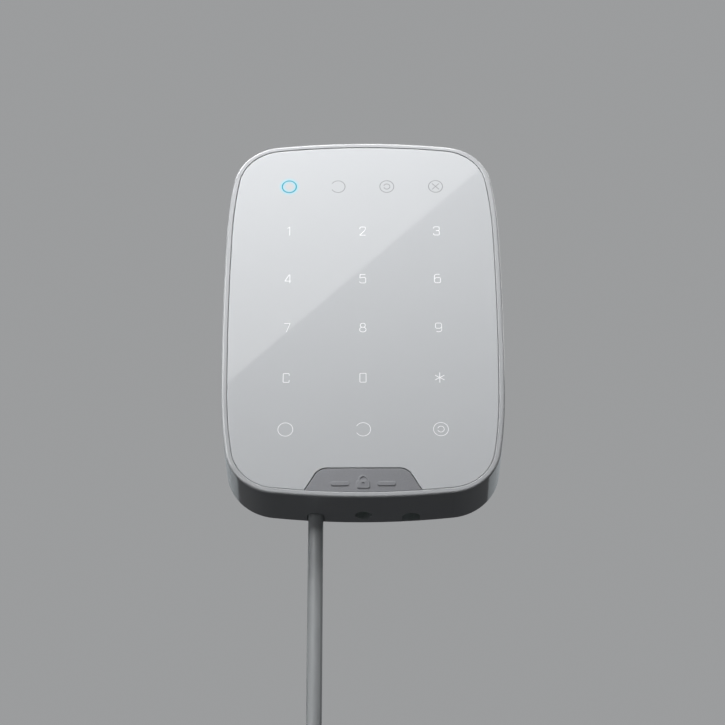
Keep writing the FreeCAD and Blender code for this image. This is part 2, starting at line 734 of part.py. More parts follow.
def sounder():
    can = rod(SOUNDER_X, SOUNDER_Z, BOARD_BACK, SOUNDER_REAR, SOUNDER_RADIUS)
    rim = [edge for edge in can.Edges if edge.BoundBox.YMin > SOUNDER_REAR - 0.1]
    port = rod(SOUNDER_X, SOUNDER_Z, SOUNDER_REAR - 1.0, SOUNDER_REAR + 1.0, 1.0)
    return can.makeFillet(0.5, rim).cut(port)


def sounder_gasket():
    ring = rod(SOUNDER_X, SOUNDER_Z, SOUNDER_REAR, COVER_FRONT, SOUNDER_RADIUS)
    return ring.cut(rod(SOUNDER_X, SOUNDER_Z, SOUNDER_REAR - 1.0, COVER_FRONT + 1.0, 4.2))


def board_screws():
    return group([
        rear_screw(x, z, BOARD_BACK, BOARD_THICK + 1.6, 1.9, 1.3, BOARD_PILOT)
        for x, z in BOARD_SCREW_PLACES
    ])


# ---------------------------------------------------------------- tamper switch
SWITCH_REAR = -7.6
SWITCH_BORE = PLUNGER_RADIUS + SLIDE_GAP
SWITCH_BORE_END = -14.2


def tamper_switch():
    case = rounded_block(-4.0, 4.0, BOARD_BACK, SWITCH_REAR, TAMPER_Z - 4.0, TAMPER_Z + 4.0, 0.8)
    return case.cut(rod(0.0, TAMPER_Z, SWITCH_BORE_END, SWITCH_REAR + 1.0, SWITCH_BORE))


def tamper_plunger():
    stem = rod(0.0, TAMPER_Z, PLUNGER_TAIL, PLUNGER_TIP, PLUNGER_RADIUS)
    tip = [edge for edge in stem.Edges if edge.BoundBox.YMin > PLUNGER_TIP - 0.1]
    return stem.makeFillet(1.2, tip)


def tamper_spring():
    coil = rod(0.0, TAMPER_Z, SWITCH_BORE_END, PLUNGER_TAIL, PLUNGER_RADIUS - 0.1)
    hollow = rod(
        0.0, TAMPER_Z, SWITCH_BORE_END - 1.0, PLUNGER_TAIL + 1.0, PLUNGER_RADIUS - 0.6
    )
    return coil.cut(hollow)


# ---------------------------------------------------------------- rear cover
def rear_cover():
    plate = outline_slab(WALL + 0.3, COVER_FRONT, COVER_BACK)
    taken = [block(-BAY_HALF_WIDTH, BAY_HALF_WIDTH, *COVER_CUT, -HALF_HEIGHT, BAY_TOP)]
    slot_half = HOOK_WIDTH / 2.0 + HOOK_SIDE_GAP
    for side in (-1, 1):
        for z in HOOK_HEIGHTS:
            x = side * HOOK_X
            taken.append(
                block(
                    x - slot_half, x + slot_half, *COVER_CUT, z - LIFT - SLIDE_GAP, z + HOOK_STEM
                )
            )
    taken += [rod(x, z, *COVER_CUT, 1.4) for x, z in BOSS_PLACES]
    taken.append(rod(0.0, TAMPER_Z, *COVER_CUT, PLUNGER_RADIUS + 0.5))
    for turn in range(6):
        x, z = polar((SOUNDER_X, SOUNDER_Z), 2.4, turn * TAU / 6.0)
        taken.append(rod(x, z, *COVER_CUT, 0.7))
    cover = plate.cut(taken)
    # stiffening ribs round the wiring bay
    ribs = []
    for side in (-1, 1):
        left, right = sorted((side * BAY_HALF_WIDTH, side * (BAY_HALF_WIDTH + RIB_THICK)))
        ribs.append(block(left, right, COVER_BACK, COVER_BACK + RIB_THICK, RIB_FOOT, BAY_TOP))
    return cover.multiFuse(ribs)


def rear_cover_screws():
    return group([
        rear_screw(x, z, COVER_BACK, 8.0, 2.4, 1.7, 1.05) for x, z in BOSS_PLACES
    ])


# ---------------------------------------------------------------- terminals, clamp and inner wiring
def way_x(way):
    return (way - (WAYS - 1) / 2.0) * WAY_PITCH


def terminal_block():
    half = WAYS * WAY_PITCH / 2.0 + 0.4
    case = block(-half, half, BOARD_BACK, TERMINAL_REAR, TERMINAL_FOOT, TERMINAL_TOP)
    slope = case.makeChamfer(1.4, [
        edge for edge in case.Edges
        if edge.BoundBox.XLength > half and edge.BoundBox.YMin > TERMINAL_REAR - 0.1
    ])
    taken = []
    for way in range(WAYS):
        x = way_x(way)
        taken.append(
            block(
                x - 1.3, x + 1.3, WIRE_Y - 1.4, WIRE_Y + 1.4, TERMINAL_FOOT - 1.0,
                TERMINAL_FOOT + 5.4,
            )
        )
        taken.append(rod(x, TERMINAL_FOOT + 3.4, WIRE_Y, TERMINAL_REAR + 1.0, 1.35))
    return slope.cut(taken)


def terminal_screws():
    screws = []
    for way in range(WAYS):
        x = way_x(way)
        z = TERMINAL_FOOT + 3.4
        body = rod(x, z, WIRE_Y + 1.4, TERMINAL_REAR - 0.7, 1.25)
        slot = block(x - 1.4, x + 1.4, TERMINAL_REAR - 1.5, TERMINAL_REAR, z - 0.25, z + 0.25)
        screws.append(body.cut(slot))
    return group(screws)


def terminal_cages():
    cages = []
    for way in range(WAYS):
        x = way_x(way)
        box = block(
            x - 1.25, x + 1.25, WIRE_Y - 1.35, WIRE_Y + 1.35, TERMINAL_FOOT + 0.8,
            TERMINAL_FOOT + 5.2,
        )
        cages.append(box.cut(block(x - 0.85, x + 0.85, WIRE_Y - 0.85, WIRE_Y + 2.0,
                                   TERMINAL_FOOT, TERMINAL_FOOT + 6.0)))
    return group(cages)


def cable_clamp():
    """A strap over the cable, which presses it on its block."""
    half = CLAMP_SCREW_SPACING / 2.0 + 2.8
    left, right = CABLE_X - half, CABLE_X + half
    foot_y = CABLE_BED_REAR
    crown = CABLE / 2.0 + 0.7
    strap = upright(CABLE_X, CABLE_Y, CLAMP_FOOT, CLAMP_TOP, crown)
    strap = strap.fuse(block(left, right, foot_y, foot_y + 1.2, CLAMP_FOOT, CLAMP_TOP))
    strap = strap.cut([
        upright(CABLE_X, CABLE_Y, CLAMP_FOOT - 1.0, CLAMP_TOP + 1.0, CABLE / 2.0),
        block(left, right, -12.0, foot_y, CLAMP_FOOT - 1.0, CLAMP_TOP + 1.0),
    ])
    middle = (CLAMP_FOOT + CLAMP_TOP) / 2.0
    holes = [
        rod(CABLE_X + side * CLAMP_SCREW_SPACING / 2.0, middle, -10.0, 0.0, 1.3) for side in (-1, 1)
    ]
    return strap.cut(holes)


def cable_clamp_screws():
    middle = (CLAMP_FOOT + CLAMP_TOP) / 2.0
    screws = []
    for side in (-1, 1):
        x = CABLE_X + side * CLAMP_SCREW_SPACING / 2.0
        screws.append(rear_screw(x, middle, CABLE_Y + 0.3, 8.0, 2.1, 1.4, CLAMP_PILOT))
    return group(screws)


WIRE_NAMES = ("wire_supply", "wire_common", "wire_data", "wire_clock")
WIRE_STARTS = ((-1.5, -0.8), (0.7, -1.5), (-0.9, 1.5), (1.6, 0.6))


def inner_wires():
    """The four insulated conductors from the jacket's end to the first four terminals."""
    wires = []
    for way, (name, (dx, dy)) in enumerate(zip(WIRE_NAMES, WIRE_STARTS)):
        x = way_x(way)
        route = [
            Vector(CABLE_X + dx, CABLE_Y + dy, JACKET_END),
            Vector(CABLE_X + dx, CABLE_Y + dy, JACKET_END + 3.6),
            Vector(x, WIRE_Y, TERMINAL_FOOT - 4.0),
            Vector(x, WIRE_Y, TERMINAL_FOOT + 1.6),
        ]
        wires.append((name, tube(route, CONDUCTOR)[0]))
    return wires


# ---------------------------------------------------------------- free cable, coil and plug
def coil_section(grow):
    """The coil's section as (distance from its axis, y): three turns on the wall side, two in front."""
    return [
        (COIL_INNER - grow, COIL_REAR + grow),
        (COIL_OUTER + grow, COIL_REAR + grow),
        (COIL_OUTER + grow, COIL_STEP),
        (COIL_FRONT_OUTER + grow, COIL_FRONT - grow),
        (COIL_FRONT_INNER - grow, COIL_FRONT - grow),
        (COIL_INNER - grow, COIL_STEP),
    ]


def coil_face(grow):
    points = [Vector(COIL_X + out, y, COIL_Z) for out, y in coil_section(grow)]
    return Part.Face(Part.makePolygon(points + points[:1]))


def turned(shape, first, sweep):
    """Revolve a section about the coil's axis; angles rise from +X towards +Z."""
    centre = Vector(COIL_X, 0, COIL_Z)
    placed = shape.copy()
    placed.rotate(centre, Vector(0, -1, 0), first)
    return placed.revolve(centre, Vector(0, -1, 0), sweep)


def coil_ties():
    ties = []
    for angle in TIE_ANGLES:
        band = coil_face(TIE_THICK).cut(coil_face(0.0))
        ties.append(turned(band.Faces[0], angle - TIE_SWEEP / 2.0, TIE_SWEEP))
    return group(ties)


def cable_lead_points():
    turn = math.radians(JOIN_ANGLE)
    join_x, join_z = polar((COIL_X, COIL_Z), COIL_OUTER_LANE, turn)
    slope = math.tan(turn - math.pi / 2.0)
    turn_z = join_z + (CABLE_X - join_x) * slope
    return [
        Vector(CABLE_X, CABLE_Y, -HALF_HEIGHT),
        Vector(CABLE_X, CABLE_Y, turn_z),
        Vector(join_x, CABLE_Y, join_z),
    ]


def largest(shape):
    return max(shape.Solids, key=lambda solid: solid.Volume)


def report_tube(name, solid, length, radii):
    expected = math.pi * (CABLE / 2.0) ** 2 * length
    print(name, "length", round(length, 1), "volume ratio", round(solid.Volume / expected, 4),
          "radii", [round(radius, 1) for radius in radii])


def free_cable():
    """The cable outside the keypad: its lead, its coil and its tail."""
    coil = turned(coil_face(0.0), 0.0, 360.0)
    lead, lead_length, lead_radii = tube(cable_lead_points(), CABLE)
    report_tube("bus_cable", lead, lead_length, lead_radii)
    tail_x = COIL_X - COIL_TAIL_LANE
    tail = upright(tail_x, COIL_FRONT_ROW_Y, TAIL_END, COIL_Z, CABLE / 2.0)
    report_tube("bus_cable_tail", tail, COIL_Z - TAIL_END, [])
    return [
        ("bus_cable", largest(lead.cut(coil))),
        ("bus_cable_coil", coil),
        ("bus_cable_tail", largest(tail.cut(coil))),
        ("coil_ties", coil_ties()),
    ]


def bus_plug():
    """A four-way plug-in screw terminal on the cable's far end."""
    x = COIL_X - COIL_TAIL_LANE
    y = COIL_FRONT_ROW_Y
    body = block(x - PLUG_WIDE / 2, x + PLUG_WIDE / 2, y - PLUG_DEEP / 2, y + PLUG_DEEP / 2,
                 PLUG_TOP - PLUG_HIGH, PLUG_TOP)
    taken = []
    for way in range(4):
        at = x + (way - 1.5) * WAY_PITCH
        taken.append(upright(at, y + 1.2, PLUG_TOP - 5.0, PLUG_TOP + 1.0, 1.2))
        taken.append(rod(at, PLUG_TOP - 4.0, y - PLUG_DEEP / 2 - 1.0, y, 1.3))
        taken.append(
            block(
                at - 1.0, at + 1.0, y - 0.2, y + 2.6, PLUG_TOP - PLUG_HIGH - 1.0, PLUG_TOP - 7.0
            )
        )
    return body.cut(taken)


def plug_screws():
    x = COIL_X - COIL_TAIL_LANE
    face = COIL_FRONT_ROW_Y - PLUG_DEEP / 2
    screws = []
    for way in range(4):
        at = x + (way - 1.5) * WAY_PITCH
        screw = rod(at, PLUG_TOP - 4.0, face + 0.6, COIL_FRONT_ROW_Y - 0.1, 1.2)
        slot = block(at - 1.3, at + 1.3, face, face + 1.2, PLUG_TOP - 4.25, PLUG_TOP - 3.75)
        screws.append(screw.cut(slot))
    return group(screws)


PLUG_WIRE_STARTS = ((-1.5, 0.4), (-0.4, -1.3), (0.4, 1.3), (1.5, -0.4))


def plug_wires():
    """The cable's four conductors between the tail's jacket and the plug."""
    x = COIL_X - COIL_TAIL_LANE
    wires = []
    for way, (dx, dy) in enumerate(PLUG_WIRE_STARTS):
        at = x + (way - 1.5) * WAY_PITCH
        route = [
            Vector(x + dx, COIL_FRONT_ROW_Y + dy, TAIL_END),
            Vector(x + dx, COIL_FRONT_ROW_Y + dy, TAIL_END - 2.4),
            Vector(at, COIL_FRONT_ROW_Y + 1.2, PLUG_TOP + 1.8),
            Vector(at, COIL_FRONT_ROW_Y + 1.2, PLUG_TOP - 3.0),
        ]
        wires.append(tube(route, CONDUCTOR)[0])
    return group(wires)


os.makedirs("parts", exist_ok=True)
save("wall_bracket", wall_bracket())
save("front_housing", front_housing())
save("touch_panel", touch_panel())
save("panel_adhesive", panel_adhesive())
save("badge_plate", badge_plate())
save("diffuser_sheet", diffuser_sheet())
save("light_guide", light_guide())
save("indicator_shroud", indicator_shroud())
save("indicator_lenses", indicator_lenses())
save("touch_board", touch_board())
for piece_name, piece in board_pieces():
    save(piece_name, piece)
save("sounder", sounder())
save("sounder_gasket", sounder_gasket())
save("board_screws", board_screws())
save("tamper_switch", tamper_switch())
save("tamper_plunger", tamper_plunger())
save("tamper_spring", tamper_spring())
save("rear_cover", rear_cover())
save("rear_cover_screws", rear_cover_screws())
save("terminal_block", terminal_block())
save("terminal_screws", terminal_screws())
save("terminal_cages", terminal_cages())
save("cable_clamp", cable_clamp())
save("cable_clamp_screws", cable_clamp_screws())
save("inner_cable", upright(CABLE_X, CABLE_Y, -HALF_HEIGHT, JACKET_END, CABLE / 2.0))
for piece_name, piece in inner_wires():
    save(piece_name, piece)
for piece_name, piece in free_cable():
    save(piece_name, piece)
save("bus_plug", bus_plug())
save("plug_screws", plug_screws())
save("plug_wires", plug_wires())
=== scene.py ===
import math

import bpy
from mathutils import Matrix, Vector


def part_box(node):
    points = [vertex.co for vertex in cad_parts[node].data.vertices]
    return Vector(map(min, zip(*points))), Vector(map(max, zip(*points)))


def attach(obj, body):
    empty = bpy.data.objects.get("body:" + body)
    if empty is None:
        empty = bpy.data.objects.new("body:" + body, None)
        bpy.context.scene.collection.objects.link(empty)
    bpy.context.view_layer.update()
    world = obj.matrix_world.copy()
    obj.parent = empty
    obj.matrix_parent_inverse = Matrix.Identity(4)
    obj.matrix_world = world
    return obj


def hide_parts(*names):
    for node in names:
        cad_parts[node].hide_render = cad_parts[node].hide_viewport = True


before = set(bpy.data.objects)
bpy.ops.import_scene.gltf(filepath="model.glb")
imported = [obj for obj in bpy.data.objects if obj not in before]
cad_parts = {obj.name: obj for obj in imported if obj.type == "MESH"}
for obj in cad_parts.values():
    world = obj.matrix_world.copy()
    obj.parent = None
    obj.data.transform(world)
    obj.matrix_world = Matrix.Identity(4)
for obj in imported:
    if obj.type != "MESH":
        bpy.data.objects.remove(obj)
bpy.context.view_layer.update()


# ---------------------------------------------------------------- wall bracket
# A flat white moulding that is screwed to the wall and carries the keypad on four hooks.
# It comes from a tool with a fine spark-eroded texture, so it is matt all over, with faint
# flow marks; every other finish on the object starts from the same helpers.
class Flow:
    """A value on its way through a finish: arithmetic on it adds Math nodes."""

    def __init__(self, finish, socket):
        self.finish = finish
        self.socket = socket

    def math(self, operation, first, second):
        return self.finish.node("ShaderNodeMath", {"operation": operation}, {0: first, 1: second})

    def __add__(self, other):
        return self.math("ADD", self, other)

    def __radd__(self, other):
        return self.math("ADD", other, self)

    def __sub__(self, other):
        return self.math("SUBTRACT", self, other)

    def __rsub__(self, other):
        return self.math("SUBTRACT", other, self)

    def __mul__(self, other):
        return self.math("MULTIPLY", self, other)

    def __rmul__(self, other):
        return self.math("MULTIPLY", other, self)

    def __truediv__(self, other):
        return self.math("DIVIDE", self, other)

    def __rtruediv__(self, other):
        return self.math("DIVIDE", other, self)

    def __pow__(self, other):
        return self.math("POWER", self, other)

    def at_least(self, other):
        return self.math("MAXIMUM", self, other)

    def above(self, other):
        return self.math("GREATER_THAN", self, other)

    def size(self):
        return self.math("ABSOLUTE", self, 0.0)


class Finish:
    """A material with one Principled shader; constants go straight onto the shader's sockets."""

    def __init__(self, name, colour, roughness, metallic=0.0, **fixed):
        self.material = bpy.data.materials.new(name)
        self.material.use_nodes = True
        self.tree = self.material.node_tree
        self.shader = self.tree.nodes["Principled BSDF"]
        self.shader.inputs["Base Color"].default_value = (*colour, 1.0)
        self.shader.inputs["Roughness"].default_value = roughness
        self.shader.inputs["Metallic"].default_value = metallic
        for socket, value in fixed.items():
            self.shader.inputs[socket.replace("_", " ").title()].default_value = value
        self.place = self.node("ShaderNodeTexCoord", {}, {}, out="Object")

    def node(self, kind, settings, sockets, out=0):
        """Add any node: its settings first, then the values or links of its sockets."""
        made = self.tree.nodes.new(kind)
        for name, value in settings.items():
            if name == "stops":
                first, last = made.color_ramp.elements
                first.position, first.color = value[0]
                last.position, last.color = value[-1]
                for place, colour in value[1:-1]:
                    made.color_ramp.elements.new(place).color = colour
            else:
                setattr(made, name, value)
        for name, value in sockets.items():
            if isinstance(value, Flow):
                self.tree.links.new(value.socket, made.inputs[name])
            else:
                made.inputs[name].default_value = value
        return Flow(self, made.outputs[out])

    def feed(self, socket, flow):
        self.tree.links.new(flow.socket, self.shader.inputs[socket])

    def along(self, axis):
        """The distance along X, Y or Z, in metres."""
        return self.node("ShaderNodeSeparateXYZ", {}, {0: self.place}, out=axis)

    def grain(self, size, detail=2.0, stretch=(1.0, 1.0, 1.0)):
        """Noise from 0 to 1 whose grains are about size metres wide."""
        placed = self.node("ShaderNodeMapping", {}, {"Vector": self.place, "Scale": stretch})
        return self.node(
            "ShaderNodeTexNoise", {}, {"Vector": placed, "Scale": 1.0 / size, "Detail": detail}
        )

    def tint(self, share, dark, light):
        """Base colour between two colours, by a share from 0 to 1."""
        mixed = self.node(
            "ShaderNodeMix",
            {"data_type": "RGBA"},
            {0: share, 6: (*dark, 1.0), 7: (*light, 1.0)},
            out=2,
        )
        self.feed("Base Color", mixed)
        return mixed

    def relief(self, height, depth, strength):
        """A bump whose full height is depth metres."""
        self.feed(
            "Normal",
            self.node(
                "ShaderNodeBump", {}, {"Height": height, "Distance": depth, "Strength": strength}
            ),
        )

    def cover(self, *names):
        """Put this finish on CAD nodes."""
        for name in names:
            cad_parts[name].material_slots[0].material = self.material
        return self


FLOW_MARK_SIZE = 0.018
FLOW_MARK_STRETCH = (1.0, 1.0, 0.35)
SHEEN_PATCH_SIZE = 0.004
SHEEN_SWING = 0.12
TOOL_TEXTURE_STRENGTH = 0.6


def moulded(name, dark, light, roughness, grain_size, grain_depth):
    """A moulded plastic: slow flow marks in its colour, patchy sheen and a fine tool texture."""
    finish = Finish(name, light, roughness)
    finish.tint(finish.grain(FLOW_MARK_SIZE, 3.0, FLOW_MARK_STRETCH), dark, light)
    sheen = finish.grain(SHEEN_PATCH_SIZE) * SHEEN_SWING
    finish.feed("Roughness", sheen + (roughness - SHEEN_SWING / 2.0))
    finish.relief(finish.grain(grain_size, 3.0), grain_depth, TOOL_TEXTURE_STRENGTH)
    return finish


BRACKET_DARK = (0.60, 0.61, 0.62)
BRACKET_LIGHT = (0.68, 0.69, 0.70)
bracket_finish = moulded(
    "bracket_matt_white", BRACKET_DARK, BRACKET_LIGHT, 0.55, 0.0004, 0.00004
)
bracket_finish.cover("wall_bracket")


# ---------------------------------------------------------------- rear cover
# The moulded lid that closes the keypad's back, in a slightly greyer batch of the bracket's
# plastic, held by six zinc-plated cross-head screws. It has the hook slots, the sounder's
# holes, the plunger's hole and the wiring bay.
COVER_DARK = (0.50, 0.51, 0.53)
COVER_LIGHT = (0.57, 0.58, 0.60)
cover_finish = moulded("rear_cover_matt_grey", COVER_DARK, COVER_LIGHT, 0.5, 0.0005, 0.00005)
cover_finish.cover("rear_cover")

zinc = Finish("zinc_plated_steel", (0.62, 0.63, 0.66), 0.32, 1.0)
zinc.tint(zinc.grain(0.0012, 3.0), (0.50, 0.52, 0.56), (0.72, 0.73, 0.75))
zinc.feed("Roughness", zinc.grain(0.0006) * 0.25 + 0.2)
zinc.relief(zinc.grain(0.00025, 2.0), 0.00002, 0.5)
zinc.cover("rear_cover_screws", "board_screws", "cable_clamp_screws")
zinc.cover("terminal_screws", "plug_screws")


# ---------------------------------------------------------------- front housing
# The frame and side walls in one light-grey moulding from a polished tool, so it mirrors
# the lamps with crisp edges. Close up it has a trace of moulding ripple and of polishing
# haze, and everything behind the panel's ledge, side walls included, is a little duller.
HOUSING_COLOUR = (0.53, 0.54, 0.555)
HOUSING_DARK = (0.515, 0.527, 0.542)
HOUSING_LIGHT = (0.545, 0.557, 0.573)
LEDGE_Y = -0.0173
DULLER_BEHIND_LEDGE = 0.02
housing_finish = Finish(
    "housing_polished_grey", HOUSING_COLOUR, 0.12, coat_weight=0.5, coat_roughness=0.04
)
housing_finish.tint(housing_finish.grain(0.03, 2.0), HOUSING_DARK, HOUSING_LIGHT)
haze = housing_finish.grain(0.006, 4.0) * 0.06 + 0.08
behind_ledge = housing_finish.along("Y").above(LEDGE_Y) * DULLER_BEHIND_LEDGE
housing_finish.feed("Roughness", haze + behind_ledge)
housing_finish.relief(housing_finish.grain(0.012, 1.0), 0.00002, 0.35)
housing_finish.cover("front_housing")


# ---------------------------------------------------------------- touch board and its parts
# A green glass-fibre board whose tracks show faintly through its mask, with copper touch pads
# on its front. The parts soldered to it are black epoxy packages, white lamp packages, a
# plated crystal, aluminium cans and tan ceramic chips.
board_finish = Finish("board_solder_mask", (0.02, 0.16, 0.06), 0.3, coat_weight=0.4)
tracks = board_finish.node(
    "ShaderNodeTexBrick",
    {"offset": 0.35},
    {
        "Vector": board_finish.node(
            "ShaderNodeMapping",
            {},
            {"Vector": board_finish.place, "Rotation": (math.pi / 2, 0.0, 0.0)},
        ),
        "Color1": (0.012, 0.13, 0.045, 1.0),
        "Color2": (0.016, 0.15, 0.05, 1.0),
        "Mortar": (0.03, 0.24, 0.09, 1.0),
        "Scale": 60.0,
        "Mortar Size": 0.03,
        "Row Height": 0.12,
        "Brick Width": 0.6,
    },
)
board_finish.feed("Base Color", tracks)
board_finish.feed("Roughness", board_finish.grain(0.002) * 0.15 + 0.22)
board_finish.relief(board_finish.grain(0.0008), 0.00002, 0.4)
board_finish.cover("touch_board")

copper = Finish("touch_pad_copper", (0.75, 0.40, 0.22), 0.35, 1.0)
copper.tint(copper.grain(0.004, 4.0), (0.60, 0.28, 0.15), (0.80, 0.46, 0.28))
copper.feed("Roughness", copper.grain(0.001) * 0.2 + 0.25)
copper.cover("touch_pads")

epoxy = Finish("chip_epoxy", (0.02, 0.02, 0.022), 0.5)
epoxy.tint(epoxy.grain(0.0006, 3.0), (0.015, 0.015, 0.017), (0.035, 0.035, 0.038))
epoxy.relief(epoxy.grain(0.0002), 0.00001, 0.5)
epoxy.cover("microcontroller", "touch_controller", "bus_transceiver", "voltage_regulator")
epoxy.cover("chip_resistors", "power_inductor")

can_finish = Finish("aluminium_can", (0.75, 0.75, 0.77), 0.3, 1.0)
can_finish.tint(can_finish.grain(0.003, 2.0), (0.66, 0.66, 0.69), (0.80, 0.80, 0.82))
can_finish.feed("Roughness", can_finish.grain(0.0008) * 0.15 + 0.22)
can_finish.cover("electrolytic_capacitors", "quartz_crystal")

ceramic = Finish("ceramic_chip_tan", (0.42, 0.30, 0.19), 0.45)
ceramic.tint(ceramic.grain(0.0005), (0.34, 0.24, 0.15), (0.48, 0.36, 0.24))
ceramic.cover("ceramic_capacitors")

lamp_finish = Finish("lamp_package_white", (0.75, 0.72, 0.55), 0.25)
lamp_finish.tint(lamp_finish.grain(0.0008), (0.70, 0.66, 0.42), (0.80, 0.79, 0.66))
lamp_finish.cover("key_leds", "status_leds")


# ---------------------------------------------------------------- sounder and tamper switch
# A black piezo sounder pressed on a foam ring, and the tamper switch: a black case with a
# white plunger that a steel coil spring pushes towards the bracket.
MM = 0.001
NYLON_DARK = (0.012, 0.012, 0.013)
NYLON_LIGHT = (0.025, 0.025, 0.027)
black_case = moulded("black_nylon", NYLON_DARK, NYLON_LIGHT, 0.4, 0.0004, 0.00003)
black_case.cover("sounder", "tamper_switch")

foam = Finish("closed_cell_foam", (0.03, 0.03, 0.032), 0.9)
cells = foam.node("ShaderNodeTexVoronoi", {}, {"Vector": foam.place, "Scale": 2500.0})
foam.tint(cells, (0.02, 0.02, 0.022), (0.055, 0.055, 0.058))
foam.relief(cells, 0.0001, 0.8)
foam.cover("sounder_gasket", "panel_adhesive")

ACETAL_DARK = (0.70, 0.70, 0.67)
ACETAL_LIGHT = (0.78, 0.78, 0.75)
plunger_finish = moulded("plunger_acetal_white", ACETAL_DARK, ACETAL_LIGHT, 0.35, 0.0006, 0.00002)
plunger_finish.cover("tamper_plunger")


def choose(piece):
    """Make one piece the only one that is selected, and the active one."""
    bpy.ops.object.select_all(action="DESELECT")
    piece.select_set(True)
    bpy.context.view_layer.objects.active = piece


CURVE_STEPS = 6
CURVE_ORDER = 3
WIRE_SMOOTH_ANGLE = 50.0


def round_line(name, lines, thickness, sides, closed=()):
    """A round bar along one or more lines of points, as a curve with closed ends."""
    curve = bpy.data.curves.new(name, "CURVE")
    curve.dimensions = "3D"
    curve.bevel_depth = thickness / 2.0
    curve.bevel_resolution = sides
    curve.resolution_u = CURVE_STEPS
    curve.use_fill_caps = True
    for number, points in enumerate(lines):
        spline = curve.splines.new("NURBS")
        spline.points.add(len(points) - 1)
        for point, place in zip(spline.points, points):
            point.co = (*place, 1.0)
        spline.order_u = min(CURVE_ORDER, len(points))
        if number in closed:
            spline.use_cyclic_u = True
        else:
            spline.use_endpoint_u = True
    piece = bpy.data.objects.new(name, curve)
    bpy.context.scene.collection.objects.link(piece)
    return piece


def wire_piece(name, lines, thickness, finish, sides=3, closed=()):
    """Round wire along one or more lines of points, as a mesh piece."""
    choose(round_line(name, lines, thickness, sides, closed))
    bpy.ops.object.convert(target="MESH")
    piece = bpy.context.view_layer.objects.active
    bpy.ops.object.shade_smooth_by_angle(angle=math.radians(WIRE_SMOOTH_ANGLE))
    piece.data.materials.clear()
    piece.data.materials.append(finish.material)
    return piece


SPRING_WIRE = 0.35 * MM
SPRING_TURNS = 5
POINTS_PER_TURN = 12
spring_low, spring_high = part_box("tamper_spring")
spring_middle = (spring_low + spring_high) / 2.0
spring_radius = (spring_high.x - spring_low.x) / 2.0 - SPRING_WIRE / 2.0
spring_long = spring_high.y - spring_low.y - SPRING_WIRE
spring_points = []
for step in range(SPRING_TURNS * POINTS_PER_TURN + 1):
    share = step / (SPRING_TURNS * POINTS_PER_TURN)
    turn = math.tau * step / POINTS_PER_TURN
    spring_points.append((
        spring_middle.x + spring_radius * math.cos(turn),
        spring_low.y + SPRING_WIRE / 2.0 + spring_long * share,
        spring_middle.z + spring_radius * math.sin(turn),
    ))
spring_steel = Finish("spring_steel", (0.55, 0.55, 0.56), 0.25, 1.0)
spring_steel.tint(spring_steel.grain(0.0008), (0.42, 0.41, 0.40), (0.62, 0.62, 0.63))
spring = wire_piece("tamper_coil_spring", [spring_points], SPRING_WIRE, spring_steel)
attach(spring, "keypad")
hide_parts("tamper_spring")


# ---------------------------------------------------------------- terminals and clamp
# The eight-way screw terminal is green nylon with plated cages and screws. A pressed steel
# strap holds the cable on its block, and its four cores run up to the first four terminals.
TERMINAL_DARK = (0.012, 0.20, 0.075)
TERMINAL_LIGHT = (0.02, 0.27, 0.11)
terminal_finish = moulded(
    "terminal_green_nylon", TERMINAL_DARK, TERMINAL_LIGHT, 0.38, 0.0005, 0.00003
)
terminal_finish.cover("terminal_block", "bus_plug")

cage_finish = Finish("tinned_brass", (0.62, 0.58, 0.46), 0.35, 1.0)
cage_finish.tint(cage_finish.grain(0.001), (0.52, 0.48, 0.38), (0.70, 0.67, 0.56))
cage_finish.cover("terminal_cages")

strap_steel = Finish("pressed_strap_steel", (0.50, 0.51, 0.53), 0.34, 1.0)
rolled = strap_steel.grain(0.0004, 2.0, (1.0, 1.0, 0.08))
strap_steel.tint(rolled, (0.42, 0.43, 0.45), (0.58, 0.59, 0.61))
strap_steel.feed("Roughness", rolled * 0.2 + 0.25)
strap_steel.cover("cable_clamp")

CORE_COLOURS = {
    "supply": ((0.42, 0.012, 0.012), (0.52, 0.025, 0.02)),
    "common": ((0.010, 0.010, 0.011), (0.022, 0.022, 0.024)),
    "data": ((0.62, 0.42, 0.02), (0.74, 0.52, 0.035)),
    "clock": ((0.015, 0.22, 0.045), (0.025, 0.30, 0.065)),
}
core_finishes = {}
for core, (dark, light) in CORE_COLOURS.items():
    made = moulded("core_" + core, dark, light, 0.35, 0.0008, 0.00002)
    core_finishes[core] = made.cover("wire_" + core)


# ---------------------------------------------------------------- light guide and its neighbours
# Behind the panel lie a white diffuser film, a clear acrylic light guide, and the black bar
# with four clear lenses that keeps the status lights apart.
acrylic = Finish("clear_acrylic", (0.80, 0.84, 0.86), 0.08, transmission_weight=0.6)
acrylic.feed("Roughness", acrylic.grain(0.003) * 0.08 + 0.05)
acrylic.cover("light_guide", "indicator_lenses")

film = Finish("diffuser_film", (0.82, 0.82, 0.82), 0.7)
film.tint(film.grain(0.001, 3.0), (0.78, 0.78, 0.78), (0.86, 0.86, 0.86))
film.cover("diffuser_sheet")

black_case.cover("indicator_shroud")


